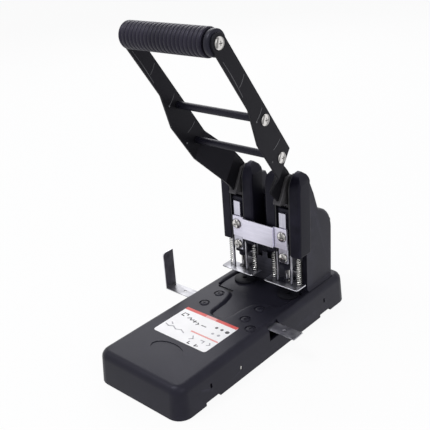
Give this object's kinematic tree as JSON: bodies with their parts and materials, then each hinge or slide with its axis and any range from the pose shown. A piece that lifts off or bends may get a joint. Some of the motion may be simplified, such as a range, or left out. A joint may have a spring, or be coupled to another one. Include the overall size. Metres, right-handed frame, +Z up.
{
  "type": "heavy duty paper punch",
  "caption": "Lever-operated heavy duty paper punch: long flat base with a sliding paper gauge, spring-returned punch heads and a tall tubular-grip handle.",
  "frame": {"origin": "on the surface that the punch stands on, under the middle of the base's length and midway between the two punched holes, 3.5 mm to the right of the middle of its width", "axes": "+Z up; +Y from the paper side towards the rear housing; +X to the right of someone who faces the paper side"},
  "size_m": [0.234, 0.3634, 0.4465],
  "materials": {
    "satin_black": "satin black powder coat",
    "rubber": "matt black rubber",
    "dark_steel": "dark zinc-plated sheet steel",
    "bright_steel": "satin zinc-plated steel",
    "nickel": "bright nickel plate",
    "bronze": "oiled sintered bronze",
    "card": "matt white self-adhesive label",
    "black_plastic": "matt black moulding"
  },
  "bodies": {
    "base": {"base_cover": "satin_black", "bottom_tray": "black_plastic", "foot_front_left": "rubber", "foot_front_right": "rubber", "foot_rear_left": "rubber", "foot_rear_right": "rubber", "chassis_plate": "dark_steel", "label_plate": "card", "base_screw_1": "satin_black", "base_screw_2": "satin_black", "base_screw_3": "satin_black", "base_screw_4": "satin_black", "base_screw_5": "satin_black", "die_left": "dark_steel", "die_right": "dark_steel", "backstop": "dark_steel", "gauge_guide": "dark_steel", "head_frame_left": "bright_steel", "head_frame_right": "bright_steel", "column_inner_left": "satin_black", "column_inner_right": "satin_black", "column_outer_left": "satin_black", "column_outer_right": "satin_black", "rear_housing": "satin_black", "rear_cover": "satin_black", "pivot_shaft": "bright_steel", "stripper_plate_left": "bright_steel", "stripper_plate_right": "bright_steel", "return_spring_inner_left": "nickel", "return_spring_inner_right": "nickel", "return_spring_outer_left": "nickel", "return_spring_outer_right": "nickel"},
    "handle": {"arm_left": "satin_black", "arm_right": "satin_black", "lever_hub_left": "dark_steel", "lever_hub_right": "dark_steel", "hub_bush_left": "bronze", "hub_bush_right": "bronze", "rod_upper": "satin_black", "rod_lower": "satin_black", "grip_core": "satin_black", "grip_sleeve": "rubber", "arm_screw_top_left": "nickel", "arm_screw_top_right": "nickel", "arm_screw_middle_left": "nickel", "arm_screw_middle_right": "nickel", "arm_screw_bottom_left": "nickel", "arm_screw_bottom_right": "nickel"},
    "punch_slider": {"slider_block_left": "satin_black", "slider_block_right": "satin_black", "punch_pin_left": "nickel", "punch_pin_right": "nickel", "face_plate_left": "bright_steel", "face_plate_right": "bright_steel", "cross_band": "bright_steel", "band_screw_left": "nickel", "band_screw_right": "nickel", "plate_screw_left": "nickel", "plate_screw_right": "nickel"},
    "gauge": {"gauge_bar": "bright_steel"}
  },
  "joints": [
    {"name": "handle_hinge", "type": "hinge", "parent": "base", "child": "handle", "pos_m": [0, 0.10626, 0.172], "axis": [1, 0, 0], "range_deg": [0, 50]},
    {"name": "head_slide", "type": "slide", "parent": "base", "child": "punch_slider", "axis": [0, 0, -1], "range_m": [0, 0.023], "stiffness_N_per_m": 3000, "springref_m": -0.027, "deforming": ["return_spring_inner_left", "return_spring_inner_right", "return_spring_outer_left", "return_spring_outer_right"]},
    {"name": "gauge_slide", "type": "slide", "parent": "base", "child": "gauge", "axis": [1, 0, 0], "range_m": [-0.04, 0.046]}
  ],
  "couplings": [
    {"joint": "head_slide", "follows": "handle_hinge", "m_per_rad": 0.026355}
  ]
}
